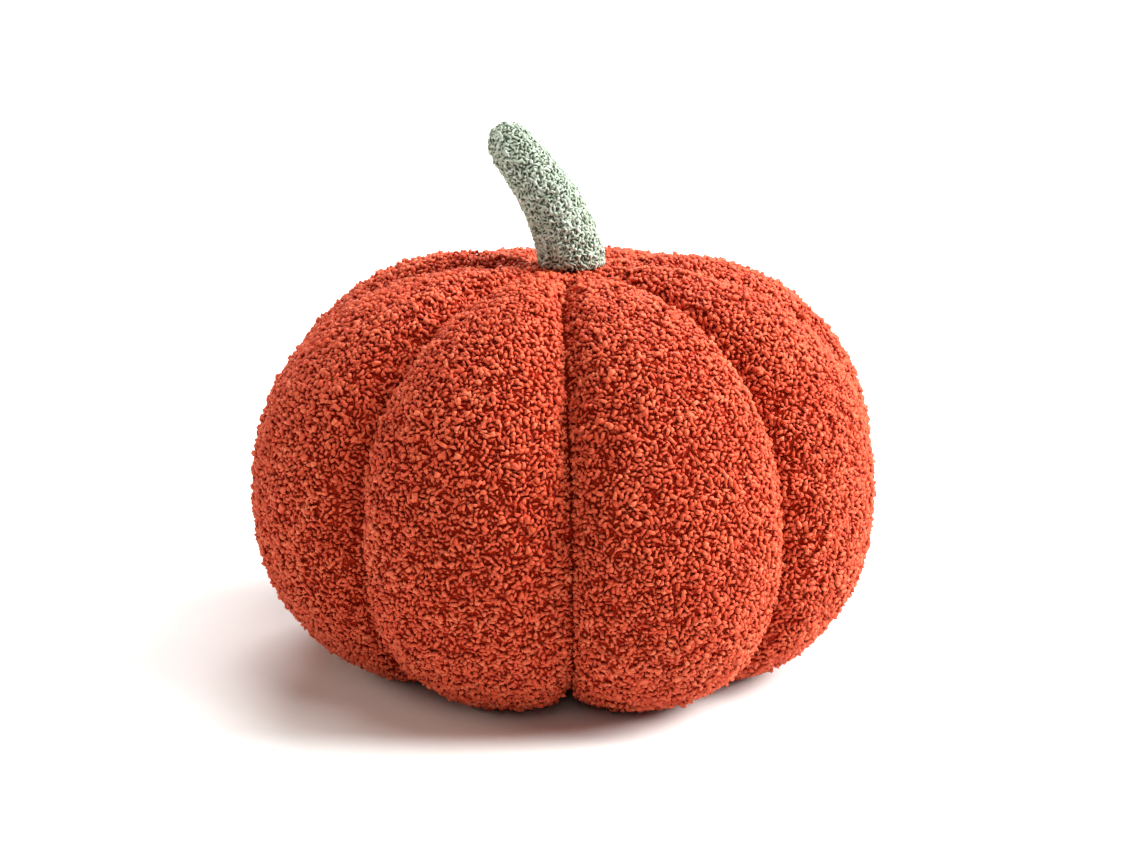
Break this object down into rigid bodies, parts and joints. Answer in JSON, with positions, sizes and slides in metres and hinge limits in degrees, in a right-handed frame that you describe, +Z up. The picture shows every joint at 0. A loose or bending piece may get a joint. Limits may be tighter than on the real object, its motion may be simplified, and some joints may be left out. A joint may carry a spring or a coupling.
{
  "type": "pumpkin plush cushion",
  "caption": "Stuffed round pumpkin cushion with seams drawn in between its lobes and a bent, stuffed stem sewn on top.",
  "frame": {"origin": "on the floor, under the middle of the body", "axes": "+Z up, -Y to the front, where a seam between two lobes runs down the middle, +X to the right as seen from the front; the stem bends towards -X"},
  "size_m": [0.3564, 0.3588, 0.3084],
  "materials": {
    "body_pile": "rust orange fleece with a short, dense, looped pile",
    "stem_pile": "pale grey-green fleece with a short, dense, looped pile"
  },
  "bodies": {
    "root": {"body": "body_pile", "stem": "stem_pile"}
  },
  "joints": []
}
